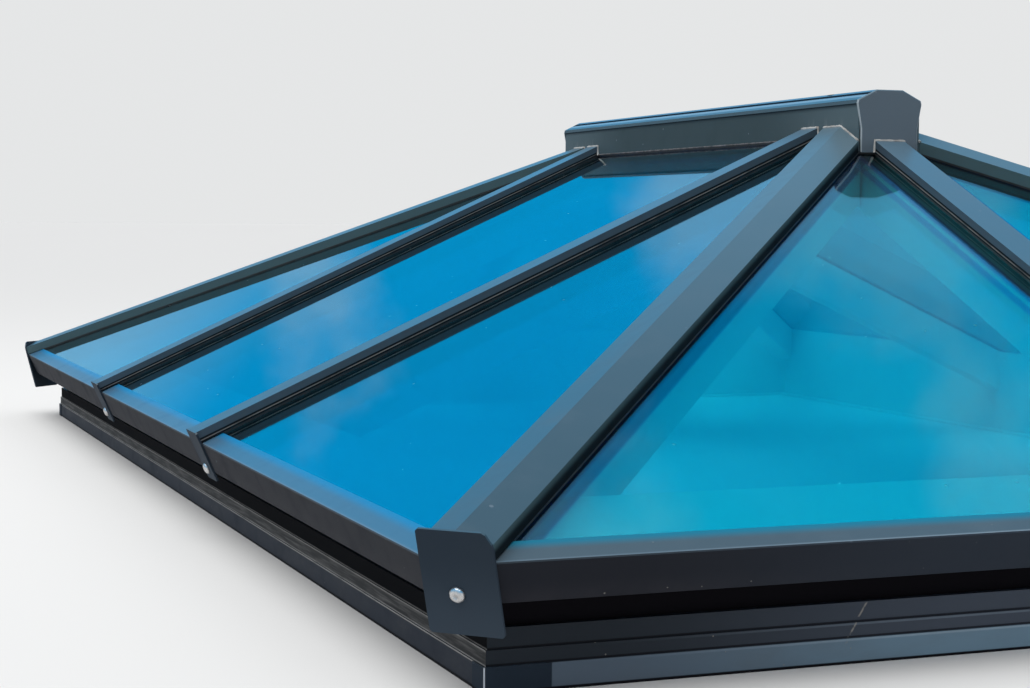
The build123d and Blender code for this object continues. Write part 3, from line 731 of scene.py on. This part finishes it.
def makeGlass(name, look):
    material, tree, shader = newMaterial(name)
    film = product(tree, useEffect(tree, patches, **look["film"]), look["filmAmount"])
    runs = product(tree, useEffect(tree, patches, **look["runs"]), look["runsAmount"])
    grit = useEffect(tree, specks, **look["grit"])
    dust = mathNode(tree, "MAXIMUM", mathNode(tree, "ADD", film, runs), grit)
    color = mixColor(tree, dust, look["color"], look["dusty"])
    # Painted reflection of the caps: a bluer line beside the hips and beside the end bars
    far, near = (hipReach("hip_cap_front_left") + gap for gap in look["hipBand"])
    edge = product(tree, stretch(tree, useEffect(tree, besideHip), far, near), look["hipAmount"])
    color = mixColor(tree, edge, color, look["hipEdge"])
    across = absolute(tree, placeOf(tree)["X"])
    color = mixColor(tree, band(tree, across, *look["barBand"], look["barBlur"]), color, look["barEdge"])
    rough = stretch(tree, grit, 0.0, 1.0, look["roughness"], look["dustyRoughness"])
    plug(tree, shader, "Base Color", color)
    plug(tree, shader, "Roughness", rough)
    plug(tree, shader, "Metallic", 0.0)
    plug(tree, shader, "Transmission Weight", 1.0)
    plug(tree, shader, "IOR", look["ior"])
    # Shadow rays pass straight through, so that light gets inside
    path = addNode(tree, "LightPath")
    clear = addNode(tree, "BsdfTransparent", Color=look["through"])
    mix = addNode(
        tree, "MixShader", at0=path.outputs["Is Shadow Ray"], at1=shader.outputs[0], at2=clear.outputs[0]
    )
    tree.links.new(mix.outputs[0], tree.nodes["Material Output"].inputs["Surface"])
    return material


sideGlass = makeGlass("sideGlass", sideGlassLook)
endGlass = makeGlass("endGlass", endGlassLook)
print("glass made")


# Plain finishes: rubber, spacer, steel, cast blocks and sealant. Each has two colours in
# patches, and the roughness of the first
plainLooks = {
    "rubber": ((0.012, 0.012, 0.013), (0.03, 0.03, 0.03), 0.6),
    "spacer": ((0.015, 0.015, 0.016), (0.03, 0.03, 0.032), 0.5),
    "steel": ((0.62, 0.62, 0.62), (0.48, 0.47, 0.46), 0.3),
    "cast": ((0.5, 0.5, 0.51), (0.36, 0.36, 0.37), 0.5),
    "sealant": ((0.50, 0.50, 0.48), (0.20, 0.17, 0.15), 0.6),
    "oldSealant": ((0.17, 0.15, 0.145), (0.03, 0.03, 0.03), 0.7),
}
plainGrain = {
    "tone": {"Size": 0.02, "Low": 0.35, "High": 0.75},
    "wornRoughness": 0.15,  # added where it is worn
    "metals": ("steel", "cast"),
    "metallic": 0.9,
}


def plainFinish(name, color, worn, roughness):
    material, tree, shader = newMaterial(name)
    tone = useEffect(tree, patches, **plainGrain["tone"])
    rough = stretch(tree, tone, 0.0, 1.0, roughness, roughness + plainGrain["wornRoughness"])
    plug(tree, shader, "Base Color", mixColor(tree, tone, color, worn))
    plug(tree, shader, "Roughness", rough)
    plug(tree, shader, "Metallic", plainGrain["metallic"] if name in plainGrain["metals"] else 0.0)
    return material


finishes = {name: plainFinish(name, *look) for name, look in plainLooks.items()}
finishes.update(outer_coat=capCoat, inner_coat=whiteCoat)


def finishOf(name):
    if slotOf[name] == "glass":
        return endGlass if name.startswith(("glass_front", "glass_back")) else sideGlass
    for start, coat in coats.items():
        if name.startswith(start):
            return coat
    return finishes[slotOf[name]]


for name, piece in nodes.items():
    piece.data.materials.clear()
    piece.data.materials.append(finishOf(name))
print("finishes given to", len(nodes), "nodes")


# Helpers for the new pieces
def addPiece(name, points, faces, material):
    mesh = bpy.data.meshes.new(name)
    mesh.from_pydata(points, [], faces)
    mesh.polygons.foreach_set("use_smooth", np.ones(len(faces), dtype=bool))
    mesh.materials.append(material)
    piece = bpy.data.objects.new(name, mesh)
    bpy.context.scene.collection.objects.link(piece)
    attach(piece, "root")
    return piece


def ringFaces(rings, around):
    # Quads between neighbouring rings of corners, each ring closed on itself
    low = np.arange((rings - 1) * around).reshape(rings - 1, around)
    beside = np.roll(low, -1, axis=1)
    return np.stack((low, beside, beside + around, low + around), axis=2).reshape(-1, 4)


def unit(vectors):
    return vectors / np.linalg.norm(vectors, axis=-1, keepdims=True)


# Domed screws in place of the plain ones, turned about the same axes
screwShape = {
    "radius": 0.00675,
    "height": 0.0054,
    "rim": 0.0010,
    "around": 32,
    "rings": 9,
    "socket": 0.0012,
    "socketDepth": 0.0006,
    "shank": 0.0025,
    "length": 0.0140,
    "nearSide": 0.9,  # share of the half width or length past which a screw is on that side
    "crownDepth": 0.00005,
}


def islands(mesh):
    # Numbers of the corners that are joined by edges, one list for each screw
    group = list(range(len(mesh.vertices)))

    def root(one):
        while group[one] != one:
            group[one] = group[group[one]]
            one = group[one]
        return one

    for edge in mesh.edges:
        group[root(edge.vertices[0])] = root(edge.vertices[1])
    found = {}
    for one in range(len(group)):
        found.setdefault(root(one), []).append(one)
    return list(found.values())


def screwOutline(look):
    # Radius and height of the turned outline, from the end of the shank to the socket. The dome
    # is radius * cos(a), rim + (height - rim) * sin(a) / sin(crown), for a from 0 to its crown
    crown = math.acos(look["socket"] / look["radius"])
    angle = crown * np.arange(1, look["rings"] + 1) / look["rings"]
    rise = (look["height"] - look["rim"]) * np.sin(angle) / math.sin(crown)
    dome = np.stack((look["radius"] * np.cos(angle), look["rim"] + rise), axis=1)
    shank = ((0.0, -look["length"]), (look["shank"], -look["length"]), (look["shank"], 0.0))
    rim = ((look["radius"], 0.0), (look["radius"], look["rim"]))
    bottom = look["height"] - look["socketDepth"]
    return np.vstack((shank, rim, dome, ((look["socket"], bottom), (0.0, bottom))))


def screwAxis(corners, look):
    # Middle of the crown and the direction in which the head looks: down the hip or the slope
    middle = corners.mean(axis=0)
    outwards = np.array((0.0, 0.0, -math.tan(roof["pitch"])))
    for axis, half in enumerate((roof["halfWidth"], roof["halfLength"])):
        if abs(middle[axis]) > look["nearSide"] * half:
            outwards[axis] = math.copysign(1.0, middle[axis])
    outwards = unit(outwards)
    reach = corners @ outwards
    return corners[reach.max() - reach < look["crownDepth"]].mean(axis=0), outwards


def screwSurface(outline, around, seat, outwards):
    # Turned about the axis: seat + axis * height + (across * cos(t) + beside * sin(t)) * radius
    across = np.array(Vector(outwards).orthogonal().normalized())
    turn = np.linspace(0, 2 * math.pi, around, endpoint=False)
    arms = np.outer(np.cos(turn), across) + np.outer(np.sin(turn), np.cross(outwards, across))
    radius, height = outline.T
    return (seat + np.outer(height, outwards)[:, None] + radius[:, None, None] * arms).reshape(-1, 3)


def makeScrews(look):
    outline = screwOutline(look)
    corners = cornersOf("plate_screws")
    quads = ringFaces(len(outline), look["around"])
    points = []
    faces = []
    for screw in islands(nodes["plate_screws"].data):
        crown, outwards = screwAxis(corners[screw], look)
        faces += (quads + len(points)).tolist()
        seat = crown - outwards * look["height"]
        points += screwSurface(outline, look["around"], seat, outwards).tolist()
    piece = addPiece("domed_screws", points, faces, finishes["steel"])
    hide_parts("plate_screws")
    return len(points) // (len(outline) * look["around"])


print("screws turned:", makeScrews(screwShape))


# Sealant: hand-laid beads round the upper ends of the caps, and along the foot of the housing
beadShape = {
    "radius": 0.0019,
    "step": 0.004,
    "around": 8,
    "wave": 0.28,
    "waves": (310, 830),  # turns of the two waves, in radians for each metre
    "sink": 0.35,
}
footShape = dict(beadShape, radius=0.0011, wave=0.4)

# How near a plane a corner touches it, how many digits of its place count, and how high over
# its lowest corners a hip cap's outline begins
jointLimits = {"touch": 0.0002, "digits": 5, "foot": 0.001}


def jointOutline(name, axis, level):
    # Upper outline of a cap's section where it meets a plane, from the corners that lie on it
    other = 1 - axis
    corners = cornersOf(name)
    sign = math.copysign(1.0, corners[:, axis].sum())
    onPlane = corners[np.abs(np.abs(corners[:, axis]) - level) < jointLimits["touch"]]
    section = np.unique(np.round(onPlane[:, [other, 2]], jointLimits["digits"]), axis=0)
    chain = []
    for point in section:
        while len(chain) > 1:
            (startX, startZ), (endX, endZ) = chain[-2], chain[-1]
            if (endX - startX) * (point[1] - startZ) < (endZ - startZ) * (point[0] - startX):
                break
            chain.pop()
        chain.append(point)
    outline = np.zeros((len(chain), 3))
    outline[:, [other, 2]] = chain
    outline[:, axis] = sign * level
    outwards = np.zeros(3)
    outwards[axis] = sign
    return outline, outwards


def divided(outline, step):
    # The outline's points and more of them on its longer lines, about a step apart
    lengths = np.linalg.norm(np.diff(outline, axis=0), axis=1)
    parts = np.maximum(1, np.round(lengths / step)).astype(int)
    lines = [np.linspace(*outline[i:i + 2], count, endpoint=False) for i, count in enumerate(parts)]
    return np.vstack((*lines, outline[-1]))


def beadSurface(outline, outwards, look):
    # Tube of radius r * (1 + wave * (sin(a s + 1) + sin(b s)) / 2), s metres along it
    path = divided(outline, look["step"])
    before = np.vstack((path[:1], path[:-1]))
    after = np.vstack((path[1:], path[-1:]))
    run = np.cumsum(np.linalg.norm(path - before, axis=1))
    slow, fast = look["waves"]
    radius = look["radius"] * (1 + look["wave"] * (np.sin(slow * run + 1) + np.sin(fast * run)) / 2)
    above = unit(np.cross(outwards, unit(after - before)))
    centre = path + np.outer(radius * look["sink"], outwards)
    turn = np.linspace(0, 2 * math.pi, look["around"], endpoint=False)[:, None]
    arms = np.cos(turn) * outwards + np.sin(turn) * above[:, None]
    return (centre[:, None] + radius[:, None, None] * arms).reshape(-1, 3)


def makeBeads(name, runs, look, material):
    around = look["around"]
    points = []
    faces = []
    for outline, outwards in runs:
        start = len(points)
        points += beadSurface(outline, outwards, look).tolist()
        faces += (ringFaces((len(points) - start) // around, around) + start).tolist()
        faces.append(list(range(start, start + around)))
        faces.append(list(range(len(points) - around, len(points))))
    addPiece(name, points, faces, material)
    return len(faces)


housingSide = np.abs(cornersOf("ridge_housing")[:, 0]).max()
housingEnd = np.abs(cornersOf("ridge_end_front")[:, 1]).max()


def capJoint(name):
    if name in ("bar_cap_front", "bar_cap_back"):
        return jointOutline(name, 1, housingEnd)
    outline, outwards = jointOutline(name, 0, housingSide)
    if name.startswith("hip_cap"):
        # Without the foot, which lies behind the end cap
        outline = outline[outline[:, 2] > outline[:, 2].min() + jointLimits["foot"]]
    return outline, outwards


joints = [capJoint(name) for start in ("bar_cap", "hip_cap") for name in nodes if name.startswith(start)]
print("faces of cap sealant:", makeBeads("cap_sealant", joints, beadShape, finishes["sealant"]))


# The foot of the housing between the caps, on the gaskets' plane over the glass
footPlane = {"height": 0.0022, "shortest": 0.02}


def footRuns(side):
    taken = sorted((outline[0][1], outline[-1][1]) for outline, outwards in joints if outwards[0] * side > 0)
    rise = (roof["halfWidth"] - housingSide) * math.tan(roof["pitch"])
    height = roof["eaves"] + rise + footPlane["height"] / math.cos(roof["pitch"])
    runs = []
    for (_, low), (high, _) in zip(taken, taken[1:]):
        if high - low > footPlane["shortest"]:
            ends = [(side * housingSide, along, height) for along in (low, high)]
            runs.append((np.array(ends), np.array((side, 0.0, 0.0))))
    return runs


feet = footRuns(-1) + footRuns(1)
print("faces of foot sealant:", makeBeads("housing_foot_sealant", feet, footShape, finishes["oldSealant"]))


# Floor, backdrop and light
studio = {
    "floor": (0.80, 0.80, 0.79),
    "floorSize": 400,
    "floorRoughness": 0.8,
    "backdrop": (0.783, 0.793, 0.797),
    "low": (0.26, 0.60, 0.90),
    "above": (0.003, 0.43, 0.87),
    "gradient": (0.116, 0.150, 0.225),  # heights where the backdrop turns pale blue and then blue
    "haze": (0.65, 0.78, 0.84),
    "hazeSize": 0.17,
    "hazeAmount": 0.36,
    "hazeEdges": (0.48, 0.63),
    "fill": (0.50, 0.51, 0.53),
    "sun": {"towards": (-0.35, -0.25, 1.0), "spread": 55, "strength": 1.65},
    "lamp": {"place": (-3.0, 1.0, 5.0), "target": (0, 0, 0.2), "size": 3.0, "power": 60},
}


def makeFloor(look):
    bpy.ops.mesh.primitive_plane_add(size=look["floorSize"])
    floor = bpy.context.object
    floor.name = "floor"
    material, tree, shader = newMaterial("floor")
    plug(tree, shader, "Base Color", look["floor"])
    plug(tree, shader, "Roughness", look["floorRoughness"])
    plug(tree, shader, "Specular IOR Level", 0.0)
    floor.data.materials.append(material)


def makeWorld(look):
    # Plain backdrop that turns blue and hazy high over the picture, where only glass and metal
    # show it, and an even fill
    world = bpy.data.worlds.new("studio")
    bpy.context.scene.world = world
    world.use_nodes = True
    tree = world.node_tree
    heading = addNode(tree, "TexCoord").outputs["Generated"]
    height = split(tree, heading)["Z"]
    noise = addNode(tree, "TexNoise", Vector=heading, Scale=1 / look["hazeSize"], Detail=5.0)
    haze = product(tree, stretch(tree, noise.outputs[0], *look["hazeEdges"]), look["hazeAmount"])
    start, middle, end = look["gradient"]
    sky = mixColor(tree, stretch(tree, height, middle, end), look["low"], look["above"])
    sky = mixColor(tree, haze, sky, look["haze"])
    seen = mixColor(tree, stretch(tree, height, start, middle), look["backdrop"], sky)
    path = addNode(tree, "LightPath")
    shown = path.outputs["Is Camera Ray"]
    for kind in ("Is Glossy Ray", "Is Transmission Ray"):
        shown = mathNode(tree, "MAXIMUM", shown, path.outputs[kind])
    plug(tree, tree.nodes["Background"], "Color", mixColor(tree, shown, look["fill"], seen))


def addLight(name, kind, power, facing, track):
    light = bpy.data.lights.new(name, kind)
    light.energy = power
    lamp = bpy.data.objects.new(name, light)
    lamp.rotation_euler = facing.to_track_quat(track, "Y").to_euler()
    bpy.context.scene.collection.objects.link(lamp)
    return lamp


def makeLights(look):
    sun = look["sun"]
    lamp = addLight("sky light", "SUN", sun["strength"], Vector(sun["towards"]), "Z")
    lamp.data.angle = math.radians(sun["spread"])
    key = look["lamp"]
    lamp = addLight("key", "AREA", key["power"], Vector(key["target"]) - Vector(key["place"]), "-Z")
    lamp.location = key["place"]
    lamp.data.shape = "DISK"
    lamp.data.size = key["size"]


makeFloor(studio)
makeWorld(studio)
makeLights(studio)
bpy.context.scene.view_settings.view_transform = "Standard"

print("scene ready")
